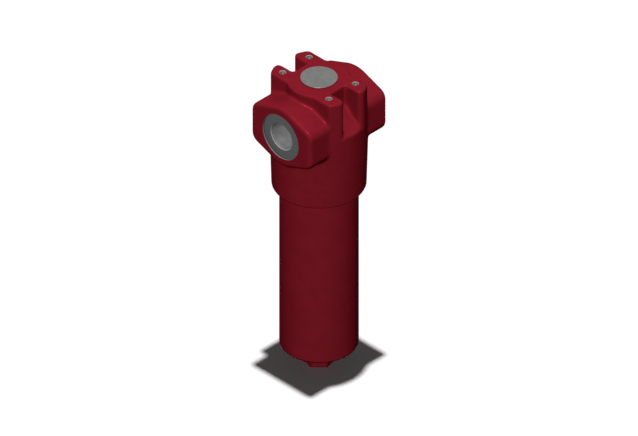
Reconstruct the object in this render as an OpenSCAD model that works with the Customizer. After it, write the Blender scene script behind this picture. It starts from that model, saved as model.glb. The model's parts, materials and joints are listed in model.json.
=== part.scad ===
// Hydraulic pressure filter: cast head with two in-line ports, screwed steel bowl,
// pleated element on a spigot and a spring-loaded bypass valve in the element's foot.
// Z = 0 is the top of the four mounting lugs, X is the flow axis, lengths are in mm.
// Sizes named "depth" are measured downwards from the lug tops.
// Every screw thread is a plain cylinder at its pitch diameter.

/* [Head casting] */
// Wall of the round skirt outside the bowl, at its lower edge
skirt_wall = 6.5; // [5.5:0.1:9]
// Draft of the cast skirt in degrees
skirt_draft = 1.6; // [1:0.1:2]
// Depth of the skirt's lower edge
head_h = 105; // [104:0.5:112]
// Diameter of the round top plate
plate_d = 54.6; // [50:0.2:58]
// Distance over the flat side walls of the lugs
lug_span = 45.4; // [44:0.2:48]
// Width of the slot between two lugs
slot_w = 17; // [14:0.5:19]
// Distance from the axis to the back wall of a slot
slot_back = 22.3; // [21:0.1:23.5]
// Depth at which the sloping slot floor leaves the back wall
slot_floor_depth = 19.2; // [16:0.1:22]
// Slope of the slot floor
slot_slope = 43; // [40:1:50]
// Rounding of the lugs' upright corners
lug_corner_r = 4; // [3:0.5:5]
// Rounding of the cast top edges
top_edge_r = 1.5; // [1:0.5:3]
// Hollow corner between the plate and a lug, and at the back of a slot
inner_corner_r = 2; // [1:0.5:3]
// Diameter of the machined pad that a clogging indicator would seal on
indicator_pad_d = 31; // [26:0.5:34]
// Height of that pad over the lug tops
indicator_pad_h = 1; // [0.3:0.1:1.5]
// Width of the cast pad on the back
back_pad_w = 53; // [46:0.5:56]
// Height of the back pad's face over the body
back_pad_proud = 1.8; // [1:0.1:4]
// Depth of the back pad's upper edge
back_pad_top = 31; // [29:0.5:35]
// Height of the back pad
back_pad_h = 44; // [36:0.5:48]
// Bevel round the back pad's face
back_pad_bevel = 2; // [1:0.5:3]

/* [Ports] */
// Distance between the two port faces
port_span = 90; // [88:0.5:96]
// Depth of the port axis
port_depth = 37.5; // [37:0.5:41]
// Width of a port boss
boss_w = 69.5; // [66:0.5:72]
// Diameter of the arcs over and under the port
boss_arc_d = 57.5; // [54:0.5:60]
// Rounding of the boss's four side corners
boss_corner_r = 9; // [4:0.5:10]
// Height of the corner arcs' centres over the port axis
boss_corner_z = 11.3; // [10:0.1:13]
// Rounding round the port face
boss_edge_r = 3; // [2:0.5:5]
// Diameter of the machined spot face
spot_d = 42; // [38:0.5:46]
// Depth of the spot face in the boss
spot_depth = 1; // [0.5:0.1:1.5]
// Pitch diameter of the port thread, G 3/4
port_thread_d = 25.28; // [24:0.02:27]
// Length of the port thread
port_thread_l = 18; // [15:0.5:19]
// Lead-in bevel of the port thread
port_bevel = 0.6; // [0.4:0.1:1.6]
// Diameter of the oil passage behind each port
passage_d = 19; // [16:0.5:20]

/* [Mounting holes] */
// Hole spacing along the flow axis
mount_x = 31; // [30:0.5:32]
// Hole spacing across the flow axis
mount_y = 54; // [52:0.5:56]
// Pitch diameter of the mounting thread, M6
mount_hole_d = 5.35; // [4.5:0.05:6]
// Depth of the mounting holes
mount_hole_l = 14; // [10:0.5:18]

/* [Bowl] */
// Oil gap between the element and the bowl
oil_gap = 2.5; // [1.5:0.1:3.5]
// Wall of the bowl
bowl_wall = 7.5; // [6.8:0.1:8.5]
// Length of bowl that shows below the head
bowl_l = 161.5; // [158:0.5:200]
// Thickness of the bowl's floor
bowl_floor_t = 10.5; // [8:0.5:14]
// Rounding inside the bowl at its floor
bowl_floor_r = 8; // [4:0.5:12]
// Rounding of the bowl's lower outer edge
bowl_edge_r = 1.5; // [0.5:0.5:4]
// Width across the flats of the spanner hexagon
hex_w = 24; // [22:0.5:27]
// Height of the spanner hexagon
hex_h = 19; // [16:0.5:24]
// Bevel of the hexagon's lower corners
hex_bevel = 1; // [0.5:0.1:1.5]
// Turn of the screwed-in bowl about its axis
hex_turn = 15; // [0:5:60]

/* [Bowl thread and seal] */
// Step from the bowl's outside down to the crest of its thread
thread_step = 1; // [0.8:0.1:1.3]
// Pitch of the bowl thread
bowl_thread_pitch = 2; // [1.5:0.5:3]
// Engaged length of the bowl thread
bowl_thread_l = 18; // [14:1:20]
// Depth of the plain recess below the thread
skirt_recess_l = 10; // [8:0.5:12]
// Height of the relief above the thread
thread_relief_l = 6; // [4:0.5:7]
// Step from the crest of the thread down to the sealing land
pilot_step = 2; // [1.8:0.1:2.3]
// Lead-in bevel at the mouth of the skirt
lead_in = 1; // [0.5:0.1:1.5]
// Length of the head's sealing bore
pilot_l = 10; // [9:0.5:11]
// Axial width of the seal groove
seal_groove_w = 5; // [4.8:0.1:5.4]
// Radial depth of the seal groove
seal_groove_t = 2.3; // [1.8:0.1:2.5]
// Metal above the seal groove
seal_groove_lip = 2.4; // [1.8:0.1:3]
// Thickness of the backup ring
backup_ring_t = 1.4; // [1:0.1:1.6]
// Scarf cut in the backup ring
backup_ring_cut = 0.6; // [0.4:0.1:1]

/* [Spigot and chambers] */
// Outer diameter of the spigot that carries the element
spigot_d = 24; // [23:0.5:25]
// Bore of the spigot
spigot_bore = 18; // [16:0.5:19]
// Length of the spigot
spigot_l = 24; // [22:0.5:26]
// Height of the round chamber above the bowl
chamber_h = 8; // [7:0.5:9]
// Distance from the axis to the inlet pocket's flat wall
pocket_wall_x = 14.5; // [13.5:0.5:16]

/* [Filter element] */
// Outer diameter of the end caps
element_d = 46; // [44:0.5:47]
// Height of the top cap's neck
neck_h = 16; // [14:0.5:18]
// Outer diameter of the neck
neck_d = 33; // [32:0.5:36]
// Thickness of the end caps' plates
cap_t = 2; // [1.5:0.1:2.5]
// Thickness of the end caps' rims
cap_rim_t = 0.5; // [0.4:0.1:0.8]
// Height of the end caps' rims
cap_rim_h = 7; // [5:0.5:9]
// Distance between the two cap plates
element_l = 166; // [150:1:167]
// Thickness of the bonding resin in each cap
resin_t = 3; // [2:0.5:5]
// Outer diameter of the support tube
tube_d = 25; // [24.6:0.1:25.2]
// Wall of the support tube
tube_t = 1; // [0.8:0.1:1.1]
// Diameter of the holes in the support tube
tube_hole_d = 5; // [3:0.5:6]
// Holes round the support tube
tube_holes_round = 6; // [4:2:8]
// Distance between two rows of holes
tube_row_pitch = 9; // [8:0.5:12]
// Number of pleats
pleats = 36; // [24:1:36]
// Half width of a pleat's outer fold
pleat_tip = 0.95; // [0.9:0.01:1]
// Half width of the gap at a pleat's root
pleat_gap = 0.1; // [0.05:0.01:0.15]
// Thickness of the wire mesh on both sides of the fleece
mesh_t = 0.2; // [0.1:0.05:0.2]
// Thickness of the glass fibre fleece
fleece_t = 0.4; // [0.2:0.05:0.4]
// Thickness of the strip that joins the pleat pack's ends
clip_t = 0.3; // [0.2:0.05:0.35]
// Depth to which the strip grips its pleat
clip_depth = 4.5; // [3:0.5:6]
// Diameter of the O-ring cord on the spigot
spigot_ring_t = 3; // [2.6:0.1:3.2]

/* [Bypass valve] */
// Bore of the valve seat
seat_bore = 12; // [10:0.5:13]
// Outer diameter of the seat ring in the bottom cap
seat_d = 18; // [17:0.5:19]
// Thickness of the seat ring's flange
seat_flange_t = 1; // [0.8:0.1:1.5]
// Diameter of the valve disc
poppet_d = 16; // [15:0.5:17]
// Thickness of the valve disc
poppet_t = 2.5; // [2:0.1:3]
// Length of the cone below the valve disc
poppet_cone_l = 1.5; // [1:0.1:2]
// Diameter of the valve stem
stem_d = 5; // [4:0.1:6]
// Lift of the valve
bypass_lift = 5; // [3:0.5:6]
// Outer diameter of the cage
cage_d = 20.4; // [20:0.1:21]
// Wall of the cage
cage_t = 1; // [0.8:0.1:1.2]
// Height of the cage
cage_h = 23; // [21:0.5:26]
// Thickness of the cage's roof
cage_roof_t = 1.5; // [1.2:0.1:2]
// Height of the guide on the cage's roof
cage_guide_h = 3.5; // [3:0.5:5]
// Wall of that guide
cage_guide_t = 2; // [1.5:0.1:2.5]
// Solid foot of the cage below its windows
cage_foot_h = 3; // [2:0.5:4]
// Solid shoulder of the cage above its windows
cage_shoulder_h = 1.5; // [1:0.5:3]
// Width of the cage's windows
cage_window_w = 9.2; // [7:0.2:10]
// Diameter of the spring wire
spring_wire = 1.2; // [1:0.1:1.4]
// Mean diameter of the spring
spring_d = 11; // [10:0.5:12]
// Turns of the spring
spring_turns = 6; // [5:0.5:7]

/* [Drain plug] */
// Pitch diameter of the drain thread, G 1/8
drain_thread_d = 9.15; // [8.6:0.05:9.8]
// Length of the drain thread
drain_thread_l = 7; // [6:0.5:8]
// Diameter of the plug's collar
drain_collar_d = 14; // [13:0.5:15]
// Thickness of the plug's collar
drain_collar_t = 2.6; // [2.2:0.1:3]
// Thickness of the sealing washer
drain_washer_t = 1; // [0.8:0.1:1.2]
// Width across the flats of the plug's socket
drain_socket_w = 5; // [4:0.5:6]
// Depth of the plug's socket
drain_socket_l = 4; // [3:0.5:5]
// Bore that drains the bowl
drain_bore = 6; // [4:0.5:7]

/* [Hidden] */

// Cuts run this far past the faces they open
over = 1;
// Radial running clearance of parts that turn or slide in each other
fit = 0.05;
// Clearance between parts that only pass each other
gap = 0.3;
// Fineness of curves that stay true, of castings and of their rounded edges
$fn = 96;
cast_fn = 32;
edge_fn = 16;

// Shares: a 60 degree thread's pitch line under its crest, and an O-ring's height and width when fitted
pitch_line = 0.325;
ring_squeeze = 0.87;
ring_spread = 1.2;

// Diameters from the element out to the skirt and the body round the ports
bowl_bore = element_d + 2 * oil_gap;
bowl_d = bowl_bore + 2 * bowl_wall;
bowl_thread_d = bowl_d - 2 * thread_step;
pilot_d = bowl_thread_d - 2 * pilot_step;
head_d = bowl_d + 2 * skirt_wall;
body_low = port_depth + top_edge_r + over;
body_d = head_d + 2 * (head_h - body_low) * tan(skirt_draft);
back_pad_y = body_d / 2 + back_pad_proud;

// Depths down the bowl joint
thread_low = head_h - skirt_recess_l;
thread_high = thread_low - bowl_thread_l;
pilot_low = thread_high - thread_relief_l;
pilot_high = pilot_low - pilot_l;
bowl_top = pilot_high + gap;
bowl_end = head_h + bowl_l;
bowl_floor = bowl_end - bowl_floor_t;
hex_end = bowl_end + hex_h;

// Radii of the bowl joint
thread_pitch_r = bowl_thread_d / 2 - pitch_line * bowl_thread_pitch;
thread_relief_r = bowl_thread_d / 2 + gap;
pilot_r = pilot_d / 2;
bore_r = bowl_bore / 2;
groove_r = pilot_r - seal_groove_t;
groove_top = bowl_top + seal_groove_lip;

// Depths of the chambers and the spigot
chamber_top = pilot_high - chamber_h;
pocket_top = port_depth - passage_d / 2 - gap;
spigot_end = chamber_top + spigot_l;

// Depths of the element, from the top cap's plate down
top_plate = spigot_end;
neck_top = top_plate - neck_h;
tube_top = top_plate + cap_t;
tube_end = tube_top + element_l;
element_end = tube_end + cap_t;
pleat_top = tube_top + resin_t;
pleat_end = tube_end - resin_t;
neck_bore_r = spigot_d / 2 + 2 * fit;
neck_groove_r = neck_bore_r + ring_squeeze * spigot_ring_t;
neck_groove_w = ring_spread * spigot_ring_t;
neck_groove_top = neck_top + neck_h / 2 - neck_groove_w;

// Radii of the pleat pack, and the layers through its thickness
cap_rim_r = element_d / 2 - cap_rim_t;
pleat_r_out = cap_rim_r - clip_t - 2 * fit;
pleat_r_in = tube_d / 2 + 2 * fit;
pack_t = 2 * mesh_t + fleece_t;
layer_gap = 0.02;

// Depths of the bypass valve, from its seat face up
seat_face = tube_end - seat_flange_t;
poppet_top = seat_face - poppet_t;
cage_roof = seat_face - cage_h;
spring_seat = cage_roof + cage_roof_t;
stem_end = cage_roof - cage_guide_h - gap;
tube_bore_r = tube_d / 2 - tube_t;

// Depths of the drain plug, from its collar up
spot_recess = drain_collar_t + drain_washer_t + gap;
drain_seat = hex_end - spot_recess;

// Moves a child so that its own z = 0 lies at the given depth
module at_depth(depth) {
    translate([0, 0, -depth]) children();
}

// Upright tube between two depths
module ring(r_out, r_in, top, bottom) {
    difference() {
        at_depth(bottom) cylinder(h = bottom - top, r = r_out);
        at_depth(bottom + over) cylinder(h = bottom - top + 2 * over, r = r_in);
    }
}

// Squeezed O-ring: a round cord pressed flat between two cylinders
module squeezed_ring(r_in, r_out, top, height) {
    cord = (r_out - r_in) / 2;
    rotate_extrude() {
        translate([r_in, -top - height + cord]) square([2 * cord, height - 2 * cord]);
        for (end = [cord, height - cord]) {
            translate([r_in + cord, -top - end]) circle(r = cord);
        }
    }
}

// Plan of the plate and the four lugs, before its corners are rounded
module top_outline() {
    difference() {
        union() {
            circle(d = plate_d, $fn = cast_fn * 2);
            intersection() {
                circle(d = body_d, $fn = cast_fn * 2);
                square([lug_span, body_d], center = true);
            }
        }
        for (side = [-1, 1]) {
            translate([-slot_w / 2, side > 0 ? slot_back : -slot_back - body_d]) {
                square([slot_w, body_d]);
            }
        }
    }
}

// Plate and lugs with rounded corners and rounded top edges
module top_casting() {
    height = port_depth - top_edge_r;
    at_depth(port_depth + top_edge_r) minkowski() {
        linear_extrude(height = height)
            offset(r = lug_corner_r - top_edge_r, $fn = cast_fn)
            offset(delta = -lug_corner_r)
            offset(r = -inner_corner_r, $fn = cast_fn)
            offset(delta = inner_corner_r)
            top_outline();
        translate([0, 0, top_edge_r]) sphere(r = top_edge_r, $fn = edge_fn);
    }
}

// Height of a slot's sloping floor at a distance from the axis
function slot_floor_at(distance) = -slot_floor_depth - (distance - slot_back) * tan(slot_slope);

// Metal under the two slots, with their sloping floors
module slot_floors() {
    low = -port_depth - over;
    intersection() {
        rotate([90, 0, 90]) translate([0, 0, -slot_w / 2 - over])
            linear_extrude(height = slot_w + 2 * over) polygon([
                [-body_d / 2, low],
                [-body_d / 2, slot_floor_at(body_d / 2)],
                [-slot_back, -slot_floor_depth],
                [slot_back, -slot_floor_depth],
                [body_d / 2, slot_floor_at(body_d / 2)],
                [body_d / 2, low]]);
        at_depth(body_low) cylinder(h = body_low, d = body_d);
    }
}

// Room over the slot floors, which the port bosses leave open
module slot_space() {
    wall = slot_back - over;
    for (side = [0, 1]) {
        mirror([0, side, 0]) rotate([90, 0, 90]) translate([0, 0, -slot_w / 2 - over])
            linear_extrude(height = slot_w + 2 * over) polygon([
                [wall, over],
                [wall, slot_floor_at(slot_back) - over],
                [slot_back, slot_floor_at(slot_back) - over],
                [body_d / 2, slot_floor_at(body_d / 2) - over],
                [body_d / 2, over]]);
    }
}

// Front outline of a port boss: an arc over and under the port, joined to four corner arcs
module boss_outline(inset) {
    arc_r = boss_arc_d / 2 - inset;
    corner_r = max(boss_corner_r - inset, boss_corner_r / 8);
    corner = [boss_w / 2 - inset - corner_r, boss_corner_z];
    lean = atan2(corner.y, corner.x) + acos((arc_r - corner_r) / norm(corner));
    out = [cos(lean), sin(lean)];
    for (flip_y = [0, 1], flip_z = [0, 1]) {
        mirror([flip_y, 0]) mirror([0, flip_z]) {
            polygon([[0, 0], [0, arc_r], arc_r * out, corner + corner_r * out,
                     [boss_w / 2 - inset, corner.y], [boss_w / 2 - inset, 0]]);
            translate(corner) circle(r = corner_r, $fn = cast_fn);
        }
    }
    circle(r = arc_r, $fn = cast_fn * 2);
}

// Both port bosses in one run through the head, their face edges rounded in steps
module port_bosses() {
    steps = 4;
    hull() {
        for (step = [0 : steps]) {
            turn = 90 * step / steps;
            inset = boss_edge_r * (1 - cos(turn));
            half = port_span / 2 - boss_edge_r * (1 - sin(turn));
            at_depth(port_depth) rotate([90, 0, 90]) translate([0, 0, -half])
                linear_extrude(height = 2 * half) boss_outline(inset);
        }
    }
}

// Flat cast pad on the back of the head
module back_pad() {
    back_pad_root = head_d / 4;
    low = back_pad_top + back_pad_h;
    hull() {
        translate([-back_pad_w / 2, back_pad_root, -low])
            cube([back_pad_w, back_pad_y - back_pad_bevel - back_pad_root, back_pad_h]);
        translate([back_pad_bevel - back_pad_w / 2, back_pad_root, back_pad_bevel - low])
            cube([back_pad_w - 2 * back_pad_bevel, back_pad_y - back_pad_root,
                  back_pad_h - 2 * back_pad_bevel]);
    }
}

// One port: spot face, bevelled thread and the passage behind it, along +X
module port_cut(passage_end) {
    face = port_span / 2 - spot_depth;
    at_depth(port_depth) rotate([0, 90, 0]) {
        translate([0, 0, face]) cylinder(h = spot_depth + over, d = spot_d);
        translate([0, 0, face - port_thread_l]) cylinder(h = port_thread_l + over, d = port_thread_d);
        translate([0, 0, face - port_bevel])
            cylinder(h = port_bevel, d1 = port_thread_d, d2 = port_thread_d + 2 * port_bevel);
        translate([0, 0, passage_end]) cylinder(h = face - passage_end, d = passage_d);
    }
}

// Bore for the bowl: recess, thread, relief and sealing bore
module bowl_bore_cut() {
    recess_r = bowl_d / 2 + gap;
    at_depth(head_h + over) cylinder(h = skirt_recess_l + over, r = recess_r);
    at_depth(head_h) cylinder(h = lead_in, r1 = recess_r + lead_in, r2 = recess_r);
    at_depth(thread_low + over) cylinder(h = bowl_thread_l + 2 * over, r = thread_pitch_r + fit);
    at_depth(thread_high) cylinder(h = thread_relief_l, r = thread_relief_r);
    at_depth(pilot_low + over) cylinder(h = pilot_l + over, r = pilot_r + fit);
}

// Chamber round the spigot, and the pocket that joins it to the inlet
module chamber_cut() {
    difference() {
        at_depth(pilot_high + over) cylinder(h = chamber_h + over, r = bore_r);
        at_depth(spigot_end) cylinder(h = spigot_l + over, d = spigot_d);
    }
    intersection() {
        at_depth(chamber_top + over) cylinder(h = chamber_top - pocket_top + over, r = bore_r);
        translate([-bore_r - over - pocket_wall_x, -bore_r, -chamber_top - over])
            cube([bore_r + over, 2 * bore_r, chamber_top]);
    }
}

module head() {
    color([0.52, 0.1, 0.15]) difference() {
        union() {
            difference() {
                union() {
                    at_depth(body_low) cylinder(h = body_low - port_depth, d = body_d);
                    at_depth(head_h) cylinder(h = head_h - body_low, d1 = head_d, d2 = body_d);
                    top_casting();
                    slot_floors();
                    difference() {
                        port_bosses();
                        slot_space();
                    }
                    back_pad();
                    at_depth(top_edge_r)
                        cylinder(h = top_edge_r + indicator_pad_h, d = indicator_pad_d);
                }
                bowl_bore_cut();
                chamber_cut();
            }
            at_depth(spigot_end) cylinder(h = spigot_end - port_depth, d = spigot_d);
        }
        at_depth(spigot_end + over)
            cylinder(h = spigot_end + over - pocket_top, d = spigot_bore);
        port_cut(0);
        rotate([0, 0, 180]) port_cut(pocket_wall_x);
        for (x = [-1, 1], y = [-1, 1]) {
            translate([x * mount_x / 2, y * mount_y / 2, -mount_hole_l])
                cylinder(h = mount_hole_l + over, d = mount_hole_d, $fn = cast_fn);
        }
    }
}

// Half section of the bowl's outside, from its floor to its sealing land
module bowl_section() {
    shoulder = thread_low + gap;
    translate([0, -bowl_end]) {
        square([bowl_d / 2 - bowl_edge_r, bowl_end - shoulder]);
        translate([0, bowl_edge_r]) square([bowl_d / 2, bowl_end - shoulder - bowl_edge_r]);
        translate([bowl_d / 2 - bowl_edge_r, bowl_edge_r]) circle(r = bowl_edge_r);
    }
    translate([0, -shoulder - over]) square([thread_pitch_r, shoulder + over - thread_high]);
    translate([0, -thread_high - over]) square([pilot_r, thread_high + over - bowl_top]);
}

module bowl() {
    color([0.5, 0.09, 0.14]) difference() {
        union() {
            rotate_extrude() intersection() {
                bowl_section();
                translate([0, -hex_end]) square([bowl_d, hex_end]);
            }
            rotate([0, 0, hex_turn]) intersection() {
                at_depth(hex_end) cylinder(h = hex_h + over, d = hex_w / cos(30), $fn = 6);
                at_depth(hex_end) cylinder(h = hex_h + over, d1 = hex_w / cos(30) - 2 * hex_bevel,
                                           d2 = hex_w / cos(30) + 2 * hex_h + 2 * over - 2 * hex_bevel);
            }
        }
        at_depth(bowl_floor - bowl_floor_r)
            cylinder(h = bowl_floor - bowl_floor_r - bowl_top + over, r = bore_r);
        at_depth(bowl_floor) rotate_extrude() {
            square([bore_r - bowl_floor_r, bowl_floor_r + over]);
            translate([0, bowl_floor_r]) square([bore_r, over]);
            intersection() {
                translate([bore_r - bowl_floor_r, bowl_floor_r]) circle(r = bowl_floor_r);
                square([bore_r, bowl_floor_r + over]);
            }
        }
        ring(pilot_r + over, groove_r, groove_top, groove_top + seal_groove_w);
        at_depth(hex_end) cylinder(h = hex_end - bowl_floor + over, d = drain_bore);
        at_depth(drain_seat) cylinder(h = drain_thread_l + over, d = drain_thread_d);
        at_depth(hex_end + over)
            cylinder(h = spot_recess + over, d = drain_collar_d + 4 * gap);
    }
}

module bowl_o_ring() {
    cord_h = seal_groove_w - backup_ring_t - gap;
    color([0.08, 0.08, 0.08])
        squeezed_ring(groove_r + fit, pilot_r, groove_top + gap / 3, cord_h);
}

module bowl_backup_ring() {
    low = groove_top + seal_groove_w - gap / 3;
    cutter = 4 * seal_groove_t;
    color([0.9, 0.88, 0.82]) difference() {
        ring(pilot_r, groove_r + fit, low - backup_ring_t, low);
        translate([pilot_r, 0, -low]) rotate([45, 0, 0])
            cube([cutter, backup_ring_cut, cutter], center = true);
    }
}

module drain_plug() {
    collar_low = hex_end - gap;
    color([0.62, 0.63, 0.65]) difference() {
        union() {
            at_depth(collar_low) cylinder(h = drain_collar_t, d = drain_collar_d);
            at_depth(drain_seat + drain_washer_t)
                cylinder(h = drain_thread_l + drain_washer_t - gap, d = drain_thread_d - 2 * fit);
        }
        at_depth(collar_low + over)
            cylinder(h = drain_socket_l + over, d = drain_socket_w / cos(30), $fn = 6);
    }
}

module drain_plug_washer() {
    color([0.72, 0.45, 0.3])
        ring(drain_collar_d / 2 - gap, drain_thread_d / 2 + fit, drain_seat, drain_seat + drain_washer_t);
}

module spigot_o_ring() {
    color([0.08, 0.08, 0.08])
        squeezed_ring(spigot_d / 2 + fit, neck_groove_r - fit, neck_groove_top + fit,
                      neck_groove_w - 2 * fit);
}

module element_top_cap() {
    color([0.7, 0.7, 0.66]) difference() {
        union() {
            ring(neck_d / 2, neck_bore_r, neck_top, top_plate + over);
            ring(element_d / 2, tube_bore_r, top_plate, tube_top);
            ring(element_d / 2, cap_rim_r, top_plate + over, tube_top + cap_rim_h);
        }
        ring(neck_groove_r, neck_bore_r - over, neck_groove_top, neck_groove_top + neck_groove_w);
        at_depth(top_plate) cylinder(h = neck_h + over, r = neck_bore_r);
    }
}

module resin(top) {
    color([0.86, 0.78, 0.55]) ring(cap_rim_r - fit, tube_d / 2 + fit, top, top + resin_t);
}

module top_resin() {
    resin(tube_top);
}

module bottom_resin() {
    resin(pleat_end);
}

// Path of the folded pack at a given distance below its outer surface
function pleat_path(below) = [
    for (i = [0 : pleats - 1], corner = [0 : 3])
        let (tip = corner < 2,
             angle = (i + (tip ? 0 : 0.5)) * 360 / pleats,
             side = corner % 2 == 0 ? -1 : 1,
             r = tip ? pleat_r_out - below : pleat_r_in + pack_t - below,
             half = tip ? pleat_tip - below : pleat_gap + below)
        [r * cos(angle) - side * half * sin(angle), r * sin(angle) + side * half * cos(angle)]
];

// One layer of the folded pack, between two distances below its outer surface
module pleat_layer(outer, inner) {
    at_depth(pleat_end) linear_extrude(height = pleat_end - pleat_top) difference() {
        polygon(pleat_path(outer));
        polygon(pleat_path(inner));
    }
}

module outer_wire_mesh() {
    color([0.66, 0.67, 0.68]) pleat_layer(0, mesh_t - layer_gap);
}

module filter_fleece() {
    color([0.93, 0.92, 0.88]) pleat_layer(mesh_t, mesh_t + fleece_t - layer_gap);
}

module inner_wire_mesh() {
    color([0.6, 0.61, 0.62]) pleat_layer(mesh_t + fleece_t, pack_t);
}

module seam_strip() {
    inside = pleat_tip + pleat_gap + fit;
    top = tube_top + cap_rim_h + gap;
    low = tube_end - cap_rim_h - gap;
    color([0.74, 0.75, 0.77]) at_depth(low) linear_extrude(height = low - top) difference() {
        translate([pleat_r_out - clip_depth, -inside - clip_t])
            square([clip_depth + clip_t + fit, 2 * (inside + clip_t)]);
        translate([pleat_r_out - clip_depth - over, -inside])
            square([clip_depth + over + fit, 2 * inside]);
    }
}

module support_tube() {
    rows = floor((element_l - 2 * cap_rim_h) / tube_row_pitch);
    first = tube_top + (element_l - (rows - 1) * tube_row_pitch) / 2;
    color([0.68, 0.69, 0.7]) difference() {
        ring(tube_d / 2, tube_bore_r, tube_top, tube_end);
        for (row = [0 : rows - 1], hole = [0 : tube_holes_round / 2 - 1]) {
            at_depth(first + row * tube_row_pitch)
                rotate([0, 90, (hole + (row % 2) / 2) * 360 / tube_holes_round])
                cylinder(h = tube_d + over, d = tube_hole_d, center = true, $fn = cast_fn);
        }
    }
}

module element_bottom_cap() {
    color([0.7, 0.7, 0.66]) {
        ring(element_d / 2, seat_d / 2 + fit, tube_end, element_end);
        ring(element_d / 2, cap_rim_r, tube_end - cap_rim_h, element_end - over);
    }
}

module bypass_seat() {
    color([0.76, 0.6, 0.3]) {
        ring(seat_d / 2, seat_bore / 2, seat_face, element_end);
        ring(tube_bore_r - gap, seat_bore / 2, seat_face, tube_end);
    }
}

module bypass_poppet() {
    cone_r = seat_bore / 2 - gap;
    color([0.6, 0.61, 0.63]) {
        at_depth(seat_face) cylinder(h = poppet_t, d = poppet_d);
        at_depth(seat_face + poppet_cone_l)
            cylinder(h = poppet_cone_l, r1 = cone_r - poppet_cone_l, r2 = cone_r);
        at_depth(seat_face - over) cylinder(h = seat_face - over - stem_end, d = stem_d);
    }
}

// Point on the spring's centre line, part 0 to 1 of the way up
function spring_point(part, height) = [
    spring_d / 2 * cos(360 * spring_turns * part),
    spring_d / 2 * sin(360 * spring_turns * part),
    spring_wire / 2 + (height - spring_wire) * part
];

module bypass_spring() {
    height = poppet_top - spring_seat;
    sides = 8;
    turn_steps = 20;
    rings = round(spring_turns * turn_steps);
    points = [
        for (i = [0 : rings], j = [0 : sides - 1])
            let (at = spring_point(i / rings, height),
                 round_angle = 360 * spring_turns * i / rings,
                 wire_angle = 360 * j / sides,
                 out = spring_wire / 2 * cos(wire_angle))
            [at.x + out * cos(round_angle), at.y + out * sin(round_angle),
             at.z + spring_wire / 2 * sin(wire_angle)]
    ];
    faces = concat(
        [[for (j = [0 : sides - 1]) j]],
        [[for (j = [sides - 1 : -1 : 0]) rings * sides + j]],
        [for (i = [0 : rings - 1], j = [0 : sides - 1])
            let (next = (j + 1) % sides)
            [i * sides + j, (i + 1) * sides + j, (i + 1) * sides + next, i * sides + next]]
    );
    color([0.5, 0.52, 0.55]) at_depth(poppet_top) polyhedron(points, faces);
}

module bypass_cage() {
    windows = 4;
    window_h = cage_h - cage_roof_t - cage_shoulder_h - cage_foot_h;
    color([0.74, 0.75, 0.72]) difference() {
        union() {
            ring(cage_d / 2, cage_d / 2 - cage_t, cage_roof, seat_face);
            at_depth(spring_seat) cylinder(h = spring_seat - cage_roof, d = cage_d);
            at_depth(cage_roof) cylinder(h = cage_guide_h, d = stem_d + 2 * cage_guide_t);
        }
        at_depth(spring_seat + over)
            cylinder(h = cage_h, d = stem_d + 2 * fit);
        for (i = [0 : windows / 2 - 1]) {
            rotate([0, 0, i * 360 / windows])
                translate([-cage_window_w / 2, -cage_d, -seat_face + cage_foot_h])
                cube([cage_window_w, 2 * cage_d, window_h]);
        }
    }
}

head();
bowl();
bowl_o_ring();
bowl_backup_ring();
drain_plug();
drain_plug_washer();
spigot_o_ring();
element_top_cap();
top_resin();
outer_wire_mesh();
filter_fleece();
inner_wire_mesh();
seam_strip();
support_tube();
bottom_resin();
element_bottom_cap();
bypass_seat();
bypass_poppet();
bypass_spring();
bypass_cage();
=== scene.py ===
# %% [markdown]
# A hydraulic pressure filter, dressed around its solid model. The solid model already holds every
# piece at its real size, so this script only gives the pieces their looks: soft cast corners, screw
# threads, tool marks and paint. Everything is in metres, with the tops of the mounting lugs at z = 0.

# %% Load the solid model
import json
import math

import bmesh
import bpy
import numpy as np
from mathutils import Matrix, Vector


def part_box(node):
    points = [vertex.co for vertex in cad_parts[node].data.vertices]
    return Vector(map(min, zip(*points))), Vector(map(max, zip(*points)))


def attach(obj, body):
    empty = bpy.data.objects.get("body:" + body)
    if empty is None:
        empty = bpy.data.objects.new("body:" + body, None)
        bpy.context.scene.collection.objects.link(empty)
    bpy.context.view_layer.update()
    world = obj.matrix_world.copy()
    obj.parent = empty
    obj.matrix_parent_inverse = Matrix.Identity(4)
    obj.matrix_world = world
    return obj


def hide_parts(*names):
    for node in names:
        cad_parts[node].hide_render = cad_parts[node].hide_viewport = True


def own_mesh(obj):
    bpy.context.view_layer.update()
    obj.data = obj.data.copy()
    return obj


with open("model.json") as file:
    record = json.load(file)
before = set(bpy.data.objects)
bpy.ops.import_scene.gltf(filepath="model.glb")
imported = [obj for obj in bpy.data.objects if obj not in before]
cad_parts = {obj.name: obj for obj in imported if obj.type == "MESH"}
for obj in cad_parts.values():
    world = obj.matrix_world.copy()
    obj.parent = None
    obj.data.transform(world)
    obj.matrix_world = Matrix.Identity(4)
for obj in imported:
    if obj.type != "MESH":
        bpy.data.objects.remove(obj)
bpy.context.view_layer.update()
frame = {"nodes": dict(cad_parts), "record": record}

print("pieces in the solid model:", len(frame["nodes"]))

# %% [markdown]
# The sizes that the looks depend on are read from the model: the interfaces from its record, and the
# outside of the head and the bowl from the boxes of their solids. So a thread that is cut here always
# lies where the model has its plain bore.

# %% Sizes taken from the model
mm = 0.001
full_turn = 2 * math.pi
mounts = {mount["name"]: mount for mount in frame["record"]["mounts"]}
head_low, head_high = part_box("head")
bowl_low, bowl_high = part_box("bowl")

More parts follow.
